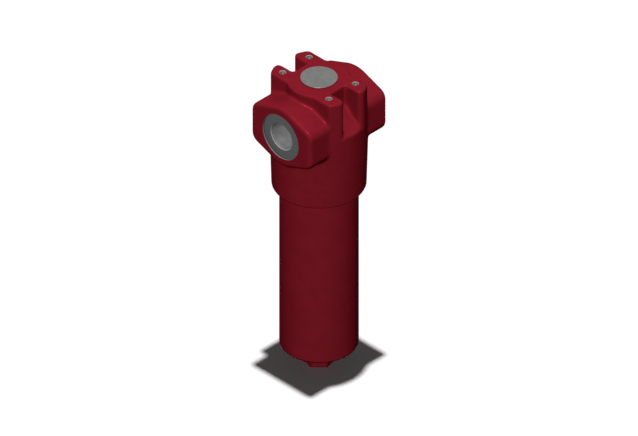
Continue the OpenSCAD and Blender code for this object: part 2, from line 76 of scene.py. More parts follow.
body_r = -head_low.y
skirt_end = head_low.z
port_face = head_high.x
pad_top = head_high.z
port_z = mounts["inlet_port"]["pos_m"][2]
port_thread_r = mounts["inlet_port"]["dims"]["r_mm"] * mm
bolt_x = mounts["mounting_holes"]["dims"]["spacing_x_mm"] * mm / 2
bolt_y = mounts["mounting_holes"]["dims"]["spacing_y_mm"] * mm / 2
bolt_r = mounts["mounting_holes"]["dims"]["hole_r_mm"] * mm
bowl_r = bowl_high.x
bowl_top = bowl_high.z
hex_end = bowl_low.z
skirt_wall = 6.5 * mm
skirt_r = bowl_r + skirt_wall
bolt_places = [Matrix.Translation((x, y, 0)) for x in (-bolt_x, bolt_x) for y in (-bolt_y, bolt_y)]
print(f"body radius {body_r:.4f} m, bowl radius {bowl_r:.4f} m, port face at {port_face:.4f} m")

# %% [markdown]
# The picture to match is an isometric view, so the camera is orthographic and looks down at 35.26
# degrees, with equal scale along all three axes. One photo pixel is 0.828 mm, which gives the width
# of the view. The axis of the filter runs down the middle of the picture.

# %% Camera
pixel = 0.828 * mm
photo_width = 638
axis_point_z = -142 * mm
camera_azimuth = math.radians(-45)
camera_elevation = math.atan(1 / math.sqrt(2))
camera_distance = 1.5


def back_vector(azimuth, elevation):
    """Points from the object towards a camera or lamp at that azimuth and elevation."""
    level = math.cos(elevation)
    return Vector((math.sin(azimuth) * level, -math.cos(azimuth) * level, math.sin(elevation)))


back = back_vector(camera_azimuth, camera_elevation)
camera = bpy.data.objects.new("camera", bpy.data.cameras.new("camera"))
bpy.context.scene.collection.objects.link(camera)
bpy.context.scene.camera = camera
camera.data.type = "ORTHO"
camera.data.ortho_scale = photo_width * pixel
camera.data.clip_end = 10
camera.rotation_euler = back.to_track_quat("Z", "Y").to_euler()
camera.location = Vector((0, 0, axis_point_z)) + back * camera_distance
bpy.context.scene.view_settings.view_transform = "Standard"
print("the camera looks from", tuple(round(c, 3) for c in camera.location))

# %% [markdown]
# A studio floor is a plane at the height of the hexagon's end. The lamps are suns, which light a long
# object evenly from top to bottom. The main one shines from above the camera and a little to its left.
# The photograph shows no shadow of the object on itself, so this lamp casts none. A low one from the
# far side keeps the back readable; it is left out of reflections, so that it makes no glare on the
# flat tops. The floor has a sun of its own, straight above, so that it turns white and keeps a clear
# shadow of the head's outline while the object stays at a plain level, and a trace of light without a
# shadow sets how dark that shadow is. Light linking keeps them apart.

# %% Floor and lamps
floor_size = 12
floor_z = hex_end
main_level = 1.04
main_disc = 12
far_level = 0.3
far_disc = 20
floor_level = 2.0
floor_fill_level = 0.065
floor_disc = 1.7

bpy.ops.mesh.primitive_plane_add(size=floor_size, location=(0, 0, floor_z))
floor = bpy.context.object
floor.name = "floor"
floor_only = bpy.data.collections.new("floor_only")
floor_only.objects.link(floor)
not_the_floor = bpy.data.collections.new("not_the_floor")
not_the_floor.objects.link(floor)
not_the_floor.collection_objects[0].light_linking.link_state = "EXCLUDE"


def sun(name, azimuth, elevation, level, disc, receivers):
    """Adds a sun. Level 1 shows a white surface that faces it as white; disc is its width in degrees."""
    lamp = bpy.data.objects.new(name, bpy.data.lights.new(name, "SUN"))
    bpy.context.scene.collection.objects.link(lamp)
    lamp.data.energy = level * math.pi
    lamp.data.angle = math.radians(disc)
    direction = back_vector(math.radians(azimuth), math.radians(elevation))
    lamp.rotation_euler = direction.to_track_quat("Z", "Y").to_euler()
    lamp.location = direction
    lamp.light_linking.receiver_collection = receivers
    return lamp


main_light = sun("main_light", -54, 62.5, main_level, main_disc, not_the_floor)
main_light.data.use_shadow = False
far_side = sun("far_side_light", 135, 12, far_level, far_disc, not_the_floor)
far_side.visible_glossy = False
sun("floor_light", 0, 90, floor_level, floor_disc, floor_only)
floor_fill = sun("floor_fill", 0, 90, floor_fill_level, floor_disc, floor_only)
floor_fill.data.use_shadow = False

# %% [markdown]
# The world is white to the camera and in reflections, and dim as a lamp. The floor does the same: it
# is pale to the camera and in reflections, and dark grey to light that bounces off it, because a
# white floor would otherwise light the object's sides from below.

# %% World and floor materials
world_as_lamp = 0.04
world_seen = 1.0
floor_as_lamp = 0.02
floor_seen = 0.5


def put(tree, kind, values=(), **settings):
    """Adds a node. Values set or link its inputs by name or number, and settings its properties."""
    node = tree.nodes.new(kind)
    for key, value in settings.items():
        setattr(node, key, value)
    for socket, value in dict(values).items():
        if isinstance(value, bpy.types.NodeSocket):
            tree.links.new(value, node.inputs[socket])
        else:
            node.inputs[socket].default_value = value
    return node


def math_node(tree, operation, *values):
    """Number arithmetic."""
    return put(tree, "ShaderNodeMath", dict(enumerate(values)), operation=operation).outputs[0]


def seen_directly(tree):
    """A factor that is 1 for camera, glossy and transmission rays, and 0 for light that scatters."""
    path = put(tree, "ShaderNodeLightPath").outputs
    camera_or_gloss = math_node(tree, "MAXIMUM", path["Is Camera Ray"], path["Is Glossy Ray"])
    return math_node(tree, "MAXIMUM", camera_or_gloss, path["Is Transmission Ray"])


def mixed_by_ray(tree, kind, as_lamp, seen):
    """Two grey shaders of one kind, one for light that scatters and one for what is seen directly."""
    greys = [put(tree, kind, {"Color": (level, level, level, 1)}).outputs[0]
             for level in (as_lamp, seen)]
    mix = put(tree, "ShaderNodeMixShader", {0: seen_directly(tree), 1: greys[0], 2: greys[1]})
    return mix.outputs[0]


def emptied(owner):
    """The node tree of a world or material, with nothing in it."""
    owner.use_nodes = True
    owner.node_tree.nodes.clear()
    return owner.node_tree


bpy.context.scene.world = bpy.data.worlds.new("studio")
sky = emptied(bpy.context.scene.world)
put(sky, "ShaderNodeOutputWorld",
    {"Surface": mixed_by_ray(sky, "ShaderNodeBackground", world_as_lamp, world_seen)})

floor_paint = bpy.data.materials.new("floor")
ground = emptied(floor_paint)
put(ground, "ShaderNodeOutputMaterial",
    {"Surface": mixed_by_ray(ground, "ShaderNodeBsdfDiffuse", floor_as_lamp, floor_seen)})
floor.data.materials.append(floor_paint)
print("nodes of the world:", len(sky.nodes), "and of the floor:", len(ground.nodes))

# %% [markdown]
# Every finish below is built from a few shader nodes that read Object coordinates, so a pattern has
# its real scale on any piece. These helpers add a node, turn a pattern into two tones, and make the
# small relief that gives a surface its feel.

# %% Helpers for finishes


def add(material, kind, values=(), **settings):
    """Adds a shader node to a finish."""
    return put(material.node_tree, "ShaderNode" + kind, values, **settings)


def place(material, centre=(0, 0, 0), stretch=(1, 1, 1)):
    """Object coordinates, centred on a point and stretched along the axes."""
    coords = add(material, "TexCoord").outputs["Object"]
    offset = tuple(-c * s for c, s in zip(centre, stretch))
    mapping = add(material, "Mapping", {"Vector": coords, "Location": offset, "Scale": stretch})
    return mapping.outputs["Vector"]


def speckle(material, where, size, detail=2.0):
    """Soft noise whose blotches are about that size across."""
    noise = add(material, "TexNoise", {"Vector": where, "Scale": 1 / size, "Detail": detail})
    return noise.outputs["Fac"]


def two_tone(material, factor, first, second, low=0.3, high=0.7):
    """Blends two colours by a factor, over the stretch from low to high."""
    ramp = add(material, "ValToRGB", {"Fac": factor})
    for stop, colour, at in zip(ramp.color_ramp.elements, (first, second), (low, high)):
        stop.color = (*colour, 1)
        stop.position = at
    return ramp.outputs["Color"]


def between(material, factor, low, high):
    """Maps a factor of about 0.3 to 0.7 to the numbers from low to high."""
    span = add(material, "MapRange", {"Value": factor, "From Min": 0.3, "From Max": 0.7,
                                      "To Min": low, "To Max": high})
    return span.outputs["Result"]


def relief(material, height, depth, under=None, strength=1.0):
    """Bump of that depth in metres, on top of another bump if one is given."""
    values = {"Height": height, "Distance": depth, "Strength": strength}
    if under is not None:
        values["Normal"] = under
    return add(material, "Bump", values).outputs["Normal"]


def surface(name, colour, roughness, normal, metallic=0.0, specular=0.5, **more):
    """Closes a finish: a Principled shader with its colour, roughness and normal."""
    material = bpy.data.materials[name]
    values = {"Base Color": colour, "Roughness": roughness, "Normal": normal,
              "Metallic": metallic, "Specular IOR Level": specular}
    values.update({key.replace("_", " "): value for key, value in more.items()})
    shader = add(material, "BsdfPrincipled", values)
    add(material, "OutputMaterial", {"Surface": shader.outputs["BSDF"]})
    return material


def new_finish(name):
    """An empty node material."""
    material = bpy.data.materials.new(name)
    emptied(material)
    return material


# %% [markdown]
# The head is sand cast and then painted. Paint softens the sand's grain but doesn't hide it, so the
# finish has a fine grain, a slow waviness of the casting's skin, and a paint film whose gloss and
# depth of colour vary a little. The bowl is cold drawn from steel: its paint lies on a smooth wall, so
# it has only the fine orange peel of a sprayed film and a trace of upright drawing lines. The film's
# gloss is weak and tinted with its own red, as the pigment lies right at the surface.

# %% Red paint on the casting and on the bowl
deep_red = (0.225, 0.0112, 0.0208)
full_red = (0.248, 0.0129, 0.0238)
gloss_tint = (0.22, 0.07, 0.09, 1)
paint_gloss = {"metallic": 0.12, "specular": 0.0, "Specular_Tint": gloss_tint}


def painted_casting():
    m = new_finish("red_paint_on_casting")
    where = place(m)
    slow = speckle(m, where, 9 * mm)
    grain = speckle(m, where, 0.9 * mm, 4.0)
    film = speckle(m, where, 2.6 * mm)
    wavy = relief(m, slow, 0.08 * mm)
    grainy = relief(m, grain, 0.025 * mm, wavy)
    return surface(m.name, two_tone(m, slow, deep_red, full_red), between(m, film, 0.25, 0.31),
                   relief(m, film, 0.02 * mm, grainy), **paint_gloss)


def painted_bowl():
    m = new_finish("red_paint_on_bowl")
    slow = speckle(m, place(m), 14 * mm)
    film = speckle(m, place(m), 1.8 * mm)
    drawn = speckle(m, place(m, stretch=(1, 1, 0.04)), 1.2 * mm)
    lines = relief(m, drawn, 0.012 * mm)
    return surface(m.name, two_tone(m, slow, deep_red, full_red), between(m, film, 0.22, 0.28),
                   relief(m, film, 0.015 * mm, lines), **paint_gloss)


casting_paint = painted_casting()
bowl_paint = painted_bowl()
print("paints:", casting_paint.name, "and", bowl_paint.name)

# %% [markdown]
# Where the casting is machined it shows bare iron. A facing tool leaves fine rings round the axis
# that it turned about: upright for the indicator pad and the skirt's end, along the flow for the spot
# faces. A wave texture of rings makes them, with one ring for each step of the tool's feed. Bores get
# the same marks as hoops along their length. The narrow bevels at the mouths of the holes get a paler
# colour than the walls below them: a painted highlight for the light that their faces catch.

# %% Machined iron
wave_speed = 20  # the wave texture multiplies its coordinate by this number


def ring_scale(feed):
    """The scale at which a wave texture has one ring for each feed of the tool."""
    return full_turn / (wave_speed * feed)


def machined(name, base, axis, centre=(0, 0, 0), feed=0.35 * mm, roughness=(0.34, 0.5), hoops=False,
             metallic=0.75, specular=0.5):
    """Bare metal with rings round an axis, or with hoops along it."""
    m = new_finish(name)
    where = place(m, centre)
    settings = {"wave_type": "BANDS", "bands_direction": axis}
    if not hoops:
        settings = {"wave_type": "RINGS", "rings_direction": axis}
    marks = add(m, "TexWave", {"Vector": where, "Scale": ring_scale(feed), "Distortion": 0.6,
                               "Detail": 1.0}, **settings).outputs["Fac"]
    blotch = speckle(m, where, 5 * mm, 3.0)
    pores = speckle(m, where, 0.5 * mm, 3.0)
    colour = two_tone(m, blotch, tuple(0.86 * c for c in base), tuple(1.12 * c for c in base))
    normal = relief(m, pores, 0.006 * mm, relief(m, marks, 0.007 * mm))
    return surface(name, colour, between(m, blotch, *roughness), normal, metallic, specular)


faced_iron = machined("faced_iron", (0.168, 0.168, 0.166), "Z", metallic=0.6)
flow_axis = (0, 0, port_z)
# Painted shade: the spot faces are a darker, less metallic copy of the faced iron, standing in for the shade
# on these upright faces.
spot_iron_painted_shade = machined("spot_faced_iron", (0.076, 0.082, 0.085), "X", flow_axis, roughness=(0.45, 0.6),
                     metallic=0.3, specular=0.3)
bored_iron = machined("bored_iron", (0.2, 0.202, 0.2), "X", flow_axis, 0.3 * mm, (0.5, 0.6),
                      hoops=True, metallic=0.0, specular=0.04)
# Painted highlight: the mouth bevels get a paler colour than the bores, standing in for the light that they
# catch.
chamfered_iron = machined("chamfered_iron", (0.34, 0.335, 0.33), "X", flow_axis, 0.3 * mm, (0.4, 0.5),
                          metallic=0.0, specular=0.1)
# Painted shade: the tapped threads are darker than the bores, standing in for the shade inside the holes.
tapped_iron = machined("tapped_iron", (0.1, 0.102, 0.1), "Z", feed=0.2 * mm, roughness=(0.45, 0.6),
                       hoops=True, metallic=0.3)


def raw_casting():
    m = new_finish("raw_casting")
    where = place(m)
    sand = speckle(m, where, 0.8 * mm, 5.0)
    slow = speckle(m, where, 6 * mm)
    return surface(m.name, two_tone(m, slow, (0.06, 0.058, 0.056), (0.1, 0.096, 0.09)),
                   between(m, sand, 0.55, 0.75), relief(m, sand, 0.06 * mm), metallic=0.5)


rough_iron = raw_casting()
head_finishes = [casting_paint, faced_iron, spot_iron_painted_shade, bored_iron, chamfered_iron, tapped_iron,
                 rough_iron]
PAINT, FACED, SPOT, BORED, CHAMFER, TAPPED, RAW = range(len(head_finishes))
print("finishes on the head:", [m.name for m in head_finishes])

# %% [markdown]
# Turned shapes are described by their half section: a list of points (radius, height, finish), where
# the finish is the one of the band that starts at that point. The section is spun in code, because
# that lets a stretch of it carry a screw thread: there the radius also depends on the angle, so the
# ridge winds round as a true helix. Real 60 degree threads have a flat crest of one eighth and a flat
# root of one quarter of the pitch. The pipe threads get the same profile, though the real ones are
# rounder and slightly steeper.

# %% Turned shapes and screw threads
round_steps = 192
crest_share = 0.125
root_share = 0.25


def thread_height(height, angle, pitch, depth):
    """Height of a right-hand thread's ridge over its root."""
    phase = (height / pitch - angle / full_turn) % 1
    ridge = 1 - np.abs(2 * phase - 1)
    return depth * np.clip((ridge - root_share) / (1 - crest_share - root_share), 0, 1)


def threaded_rows(low, high, root_r, pitch, depth, finish, steps=8):
    """Section points for a thread. Its ridge rises and dies away over one pitch at either end."""
    count = max(2, round((high - low) / pitch * steps))
    rows = []
    for i in range(count + 1):
        from_end = min(i, count - i) / steps
        rows.append((root_r, low + (high - low) * i / count, finish, (pitch, depth * min(1, from_end))))
    return rows


def turned(name, section, finishes, steps=round_steps):
    """Spins a half section round Z. It runs from axis to axis, or is a closed loop off the axis."""
    angles = np.arange(steps) * full_turn / steps
    bm = bmesh.new()
    rings = []
    for point in section:
        radius, height, finish = point[:3]
        if radius <= 0:
            rings.append(([bm.verts.new((0, 0, height))] * steps, finish))
            continue
        radii = np.full(steps, radius)
        if len(point) > 3:
            radii = radius + thread_height(height, angles, *point[3])
        ring = [bm.verts.new((r * math.cos(a), r * math.sin(a), height)) for r, a in zip(radii, angles)]
        rings.append((ring, finish))
    closed_loop = section[0][0] > 0
    pairs = list(zip(rings, rings[1:] + rings[:1])) if closed_loop else list(zip(rings, rings[1:]))
    for (first, finish), (second, _) in pairs:
        for i in range(steps):
            j = (i + 1) % steps
            corners = [first[i], first[j], second[j], second[i]]
            corners = [v for k, v in enumerate(corners) if v not in corners[:k]]
            if len(corners) > 2:
                bm.faces.new(corners).material_index = finish
    bmesh.ops.recalc_face_normals(bm, faces=bm.faces)
    return mesh_object(name, bm, finishes)


def mesh_object(name, bm, finishes):
    """Turns a bmesh into an object with those finishes."""
    mesh = bpy.data.meshes.new(name)
    bm.to_mesh(mesh)
    bm.free()
    for finish in finishes:
        mesh.materials.append(finish)
    made = bpy.data.objects.new(name, mesh)
    bpy.context.scene.collection.objects.link(made)
    return made


print("a turned shape has", round_steps, "sides")

# %% [markdown]
# Pieces are joined and cut as on the real part: first the rough shape, then each machining step with
# its own cutter. The cutters carry the same list of finishes as the piece, so a cut face takes the
# bare metal of its cutter by index. Afterwards the surface is shaded smooth, with crisp edges where
# it turns sharply.

# %% Helpers that join, cut and move
crisp_angle = math.radians(32)


def set_down(piece, matrix):
    """Moves the mesh itself, so that its object stays at the origin."""
    piece.data.transform(matrix)
    return piece


def remove(*pieces):
    """Deletes helper objects with their meshes."""
    for piece in pieces:
        mesh = piece.data
        bpy.data.objects.remove(piece)
        bpy.data.meshes.remove(mesh)


def machine(piece, tools, operation="DIFFERENCE"):
    """Cuts each tool from the piece, or adds it, and deletes the tool."""
    for tool in tools:
        step = piece.modifiers.new("cut", "BOOLEAN")
        step.operation = operation
        step.solver = "MANIFOLD"
        step.object = tool
        step.material_mode = "INDEX"
        keep_result(piece)
        remove(tool)


def keep_result(piece):
    """Makes the result of the modifiers the piece's own mesh."""
    graph = bpy.context.evaluated_depsgraph_get()
    result = bpy.data.meshes.new_from_object(piece.evaluated_get(graph), depsgraph=graph)
    old = piece.data
    piece.modifiers.clear()
    piece.data = result
    bpy.data.meshes.remove(old)


def smooth(piece, angle=crisp_angle):
    """Smooth shading, crisp where the surface turns by more than the angle."""
    piece.data.shade_smooth()
    piece.data.set_sharp_from_angle(angle=angle)


def triangles(piece):
    """How many triangles the piece's mesh has."""
    piece.data.calc_loop_triangles()
    return len(piece.data.loop_triangles)


print(f"edges are crisp where the surface turns by more than {math.degrees(crisp_angle):.0f} degrees")

# %% [markdown]
# The casting starts as a copy of the head's solid. Its bores are plugged and the machined pad is
# planed off, which gives the rough casting as it comes out of the sand. A voxel remesh turns that
# into one even skin, fine enough to be worked on: this is the digital version of a foundry pattern.

# %% The rough casting
voxel = 0.8 * mm
sprue = 6 * mm
cast_steps = 256
plug_steps = 64


def cylinder(low, high, radius):
    """A plain upright cylinder, used as a plug."""
    section = [(0, low, PAINT), (radius, low, PAINT), (radius, high, PAINT), (0, high, PAINT)]
    return turned("plug", section, [], plug_steps)


along_x = Matrix.Rotation(math.pi / 2, 4, "Y")
at_ports = Matrix.Translation(flow_axis)
head_solid = frame["nodes"]["head"]
bm = bmesh.new()
bm.from_mesh(head_solid.data)
bmesh.ops.remove_doubles(bm, verts=bm.verts, dist=0.001 * mm)
for vert in bm.verts:
    vert.co.z = min(vert.co.z, 0)
casting = mesh_object("filter_head", bm, [casting_paint])
parting_z = port_z - 2.5 * mm
chamber_plug_r = 26.5 * mm
chamber_plug_top = port_z + 11 * mm
spot_r = 21 * mm
spot_plug_over = 0.1 * mm
bolt_plug_over = 0.6 * mm
bolt_plug_l = 16 * mm
skirt_core = [(0, skirt_end - sprue, PAINT), (skirt_r, skirt_end - sprue, PAINT),
              (skirt_r, skirt_end, PAINT), (body_r, parting_z, PAINT), (body_r, port_z, PAINT),
              (0, port_z, PAINT)]
plugs = [
    turned("plug", skirt_core, [], cast_steps),
    cylinder(skirt_end, chamber_plug_top, chamber_plug_r),
    set_down(cylinder(-port_face, port_face, spot_r + spot_plug_over), at_ports @ along_x),
]
for at_bolt in bolt_places:
    plugs.append(set_down(cylinder(-bolt_plug_l, 0, bolt_r + bolt_plug_over), at_bolt))
for plug in plugs:
    bm = bmesh.new()
    bm.from_mesh(casting.data)
    bm.from_mesh(plug.data)
    bm.to_mesh(casting.data)
    bm.free()
remove(*plugs)
skin = casting.modifiers.new("skin", "REMESH")
skin.mode = "VOXEL"
skin.voxel_size = voxel
keep_result(casting)
print("rough casting:", triangles(casting), "triangles")

# %% [markdown]
# A casting has no sharp inside corners: the pattern maker fills them with a fillet of 2 to 3 mm. The
# node tree below does the same. Each pass compares a point with the average of its neighbours. Where
# that average lies outside the surface, the point sits in a hollow and moves out towards it, and
# elsewhere it stays. So hollow corners fill up pass by pass while the flats, the round skirt and the
# outside edges keep their size. A few light passes of plain smoothing take off the voxel steps. Flat
# skin needs fewer triangles than a fillet, so a decimate step then drops half of them.

# %% Node tree that fills hollow corners
even_passes = 2
even_rate = 0.6
fill_passes = 8
fill_rate = 0.9
kept_share = 0.5


def new_tree(name, inputs):
    """An empty geometry node tree with named inputs of the given kind and value."""
    tree = bpy.data.node_groups.new(name, "GeometryNodeTree")
    tree.interface.new_socket("Geometry", in_out="INPUT", socket_type="NodeSocketGeometry")
    for label, (kind, value) in inputs.items():
        socket = tree.interface.new_socket(label, in_out="INPUT", socket_type=kind)
        if kind != "NodeSocketMaterial":
            socket.default_value = value
    tree.interface.new_socket("Geometry", in_out="OUTPUT", socket_type="NodeSocketGeometry")
    return tree, tree.nodes.new("NodeGroupInput").outputs, tree.nodes.new("NodeGroupOutput").inputs


def vector_node(tree, operation, *values, result="Vector"):
    """Vector arithmetic."""
    node = put(tree, "ShaderNodeVectorMath", dict(enumerate(values)), operation=operation)
    return node.outputs[result]


def passes(tree, geometry, count, one_pass):
    """Repeats a step on the geometry. One pass takes a geometry socket and returns another."""
    start = tree.nodes.new("GeometryNodeRepeatInput")
    end = tree.nodes.new("GeometryNodeRepeatOutput")
    start.pair_with_output(end)
    tree.links.new(count, start.inputs["Iterations"])
    tree.links.new(geometry, start.inputs["Geometry"])
    tree.links.new(one_pass(start.outputs["Geometry"]), end.inputs["Geometry"])
    return end.outputs["Geometry"]


def towards_neighbours(tree, share):
    """How far a point has to move to reach that share of the way to its neighbours' average."""
    here = put(tree, "GeometryNodeInputPosition").outputs[0]
    around = put(tree, "GeometryNodeBlurAttribute", {"Value": here, "Iterations": 1},
                 data_type="FLOAT_VECTOR").outputs["Value"]
    gap = vector_node(tree, "SUBTRACT", around, here)
    scaled = put(tree, "ShaderNodeVectorMath", {0: gap, "Scale": share}, operation="SCALE")
    return scaled.outputs["Vector"]


def close_tree(tree, geometry, material, out):
    """Ends a tree with real geometry in its finish, because an export drops instances."""
    real = put(tree, "GeometryNodeRealizeInstances", {"Geometry": geometry})
    coated = put(tree, "GeometryNodeSetMaterial", {"Geometry": real.outputs[0], "Material": material})
    tree.links.new(coated.outputs[0], out["Geometry"])
    return tree


def fillet_tree():
    tree, given, out = new_tree("fill_hollow_corners", {
        "Even passes": ("NodeSocketInt", even_passes),
        "Even rate": ("NodeSocketFloat", even_rate),
        "Fill passes": ("NodeSocketInt", fill_passes),
        "Fill rate": ("NodeSocketFloat", fill_rate),
        "Skin": ("NodeSocketMaterial", None)})
    normal = put(tree, "GeometryNodeInputNormal").outputs[0]

    def even(geometry):
        move = towards_neighbours(tree, given["Even rate"])
        return put(tree, "GeometryNodeSetPosition", {"Geometry": geometry, "Offset": move}).outputs[0]

    def fill(geometry):
        move = towards_neighbours(tree, given["Fill rate"])
        outwards = math_node(tree, "MAXIMUM",
                             vector_node(tree, "DOT_PRODUCT", move, normal, result="Value"), 0.0)
        lift = put(tree, "ShaderNodeVectorMath", {0: normal, "Scale": outwards}, operation="SCALE")
        return put(tree, "GeometryNodeSetPosition",
                   {"Geometry": geometry, "Offset": lift.outputs["Vector"]}).outputs[0]

    first = passes(tree, given["Geometry"], given["Even passes"], even)
    filled = passes(tree, first, given["Fill passes"], fill)
    last = passes(tree, filled, given["Even passes"], even)
    return close_tree(tree, last, given["Skin"], out)


def apply_tree(piece, tree, **values):
    """Runs a node tree on a piece with the given inputs, and keeps the result as its mesh."""
    step = piece.modifiers.new("nodes", "NODES")
    step.node_group = tree
    sockets = {item.name.lower().replace(" ", "_"): item.identifier
               for item in tree.interface.items_tree if item.in_out == "INPUT"}
    for label, value in values.items():
        step[sockets[label]] = value
    keep_result(piece)


apply_tree(casting, fillet_tree(), even_passes=even_passes, even_rate=even_rate,
           fill_passes=fill_passes, fill_rate=fill_rate, skin=casting_paint)
thinner = casting.modifiers.new("thinner", "DECIMATE")
thinner.ratio = kept_share
keep_result(casting)
print("casting with fillets:", triangles(casting), "triangles")

# %% [markdown]
# Now the casting goes to the machine shop. One cutter faces the skirt and bores it out: mouth, bowl
# thread, relief, sealing bore, chamber and the spigot that carries the element. It also breaks the
# skirt's outer edge, which shows as a thin dark line above the bowl. The bowl thread is cut a tenth
# of a millimetre larger than the bowl's own, so the two can turn in each other.

# %% Cutter for the bowl joint
thread_pitch = 2 * mm
thread_depth = 1.2 * mm
thread_step = 1.05 * mm
thread_root_r = bowl_r - thread_step - thread_depth
thread_play = 0.12 * mm
thread_low = skirt_end + 10 * mm
thread_high = thread_low + 18 * mm
recess_r = bowl_r + 0.3 * mm
lead_in = 1 * mm
relief_r = 32.3 * mm
pilot_low = thread_high + 6 * mm
pilot_high = pilot_low + 10 * mm
pilot_r = 30.05 * mm
chamber_r = 25.5 * mm
chamber_top = pilot_high + 8 * mm
spigot_r = 12 * mm
spigot_bore_r = 9 * mm
spigot_bevel = 0.8 * mm
spigot_end = chamber_top - 24 * mm
passage_roof = port_z + 9.8 * mm
far_below = skirt_end - 2 * sprue
outside_r = skirt_r + 4 * mm
edge_h, edge_w = 1 * mm, 0.9 * mm
edge_run_out = 2.6


def bowl_joint_cutter():
    run_out_z = skirt_end + edge_h + edge_run_out * (outside_r - skirt_r)
    section = [(0, far_below, FACED), (outside_r, far_below, PAINT), (outside_r, run_out_z, PAINT),
               (skirt_r, skirt_end + edge_h, PAINT),
               (skirt_r - edge_w / 3, skirt_end + edge_h / 3, PAINT), (skirt_r - edge_w, skirt_end, FACED),
               (recess_r + lead_in, skirt_end, FACED), (recess_r, skirt_end + lead_in, TAPPED),
               (recess_r, thread_low, FACED)]
    section += threaded_rows(thread_low, thread_high, thread_root_r + thread_play, thread_pitch,
                             thread_depth, TAPPED)
    section += [(relief_r, thread_high, TAPPED), (relief_r, pilot_low, FACED),
                (pilot_r, pilot_low, TAPPED), (pilot_r, pilot_high, FACED),
                (chamber_r, pilot_high, RAW), (chamber_r, chamber_top, RAW),
                (spigot_r, chamber_top, TAPPED), (spigot_r, spigot_end + spigot_bevel, FACED),
                (spigot_r - spigot_bevel, spigot_end, FACED), (spigot_bore_r, spigot_end, TAPPED),
                (spigot_bore_r, passage_roof, RAW), (0, passage_roof, RAW)]
    return turned("bowl_joint_cutter", section, head_finishes)


print(f"bowl thread: {thread_root_r / mm:.2f} mm root radius, {thread_pitch / mm:.1f} mm pitch")

# %% [markdown]
# The ports are cut along the flow. Each has a wide spot face that a fitting seals on, a lead-in bevel,
# a pipe thread with 14 turns to the inch and the oil passage behind it. The lugs get four M6 threads,
# with a small countersink and the cone that a drill leaves at the bottom.

# %% Cutters for the ports and the mounting holes
spot_depth = 1 * mm
port_pitch = 25.4 / 14 * mm
port_depth_of_thread = 1.162 * mm
port_thread_l = 18 * mm
port_bevel = 0.6 * mm
port_steps = 112
passage_r = 9.5 * mm
pocket_wall = 14.5 * mm
pocket_steps = 40
pocket_overlap = 1 * mm
bolt_bevel = 0.5 * mm
bolt_pitch = 1 * mm
bolt_thread_depth = 0.54 * mm
bolt_hole_l = 14 * mm
bolt_steps = 32
bolt_cutter_top = 2 * mm
small_thread_rows = 6


def port_cutter(passage_end):
    """Cutter for one port, standing on the flow axis: its Z is the flow's X."""
    face = port_face - spot_depth
    root = port_thread_r - port_depth_of_thread / 2
    outside = port_face + spot_depth
    section = [(0, passage_end, RAW), (passage_r, passage_end, RAW),
               (passage_r, face - port_thread_l, BORED)]
    section += threaded_rows(face - port_thread_l, face - port_bevel, root, port_pitch,
                             port_depth_of_thread, BORED)
    section[-1] = (root, face - port_bevel, CHAMFER)
    section += [(root + port_bevel, face, SPOT), (spot_r, face, BORED), (spot_r, outside, SPOT),
                (0, outside, SPOT)]
    return set_down(turned("port_cutter", section, head_finishes, port_steps), along_x)


def bolt_hole_cutter():
    root = bolt_r - bolt_thread_depth / 2
    mouth_r = root + bolt_bevel
    section = [(0, -bolt_hole_l - root / 2, TAPPED), (root, -bolt_hole_l, TAPPED)]
    section += threaded_rows(-bolt_hole_l + bolt_pitch, -bolt_bevel, root, bolt_pitch, bolt_thread_depth,
                             TAPPED, small_thread_rows)
    section[-1] = (root, -bolt_bevel, CHAMFER)
    section += [(mouth_r, 0, TAPPED), (mouth_r, bolt_cutter_top, TAPPED), (0, bolt_cutter_top, TAPPED)]
    return turned("bolt_hole_cutter", section, head_finishes, bolt_steps)


def inlet_pocket_cutter():
    """The cast pocket that leads the oil from the inlet down into the chamber round the spigot."""
    reach = math.acos(pocket_wall / chamber_r)
    outline = [(chamber_r * math.cos(a), chamber_r * math.sin(a))
               for a in np.linspace(math.pi - reach, math.pi + reach, pocket_steps)]
    bm = bmesh.new()
    floor_ring = [bm.verts.new((x, y, chamber_top - pocket_overlap)) for x, y in outline]
    roof_ring = [bm.verts.new((x, y, passage_roof)) for x, y in outline]
    bm.faces.new(floor_ring)
    bm.faces.new(list(reversed(roof_ring)))
    for i in range(pocket_steps):
        j = (i + 1) % pocket_steps
        bm.faces.new([floor_ring[j], floor_ring[i], roof_ring[i], roof_ring[j]])
    for face in bm.faces:
        face.material_index = RAW
    bmesh.ops.recalc_face_normals(bm, faces=bm.faces)
    return mesh_object("inlet_pocket_cutter", bm, head_finishes)


print(f"port thread: {port_thread_r / mm:.2f} mm pitch radius, {port_pitch / mm:.3f} mm pitch")

# %% [markdown]
# The indicator pad is the one face that is added instead of cut: it stands proud of the casting, and
# its rim has the small bevel of a deburring tool.

# %% The finished head
pad_r = 15.5 * mm
pad_bevel = 0.15 * mm
pad_root = -3 * mm

casting.data.materials.clear()
for finish in head_finishes:
    casting.data.materials.append(finish)
pad = turned("pad", [(0, pad_root, PAINT), (pad_r, pad_root, PAINT), (pad_r, pad_top - pad_bevel, FACED),
                     (pad_r - pad_bevel, pad_top, FACED), (0, pad_top, FACED)], head_finishes)
machine(casting, [pad], "UNION")
half_turn = Matrix.Rotation(math.pi, 4, "Z")
cutters = [bowl_joint_cutter(), inlet_pocket_cutter(), set_down(port_cutter(0), at_ports),
           set_down(port_cutter(pocket_wall), at_ports @ half_turn)]
cutters += [set_down(bolt_hole_cutter(), at_bolt) for at_bolt in bolt_places]
machine(casting, cutters)
smooth(casting)
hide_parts("head")
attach(casting, "head")
print("finished head:", triangles(casting), "triangles")

# %% [markdown]
# Inside the head and the bowl every piece has the finish that it leaves its own factory with. Bare
# steel is bright where it is turned and dull grey where it is drawn. Zinc plating has a soft spangle
# and a bluish or yellowish cast. The seals are moulded in rubber, and their backup ring is cut from a
# waxy white plastic.

# %% Metal and rubber finishes


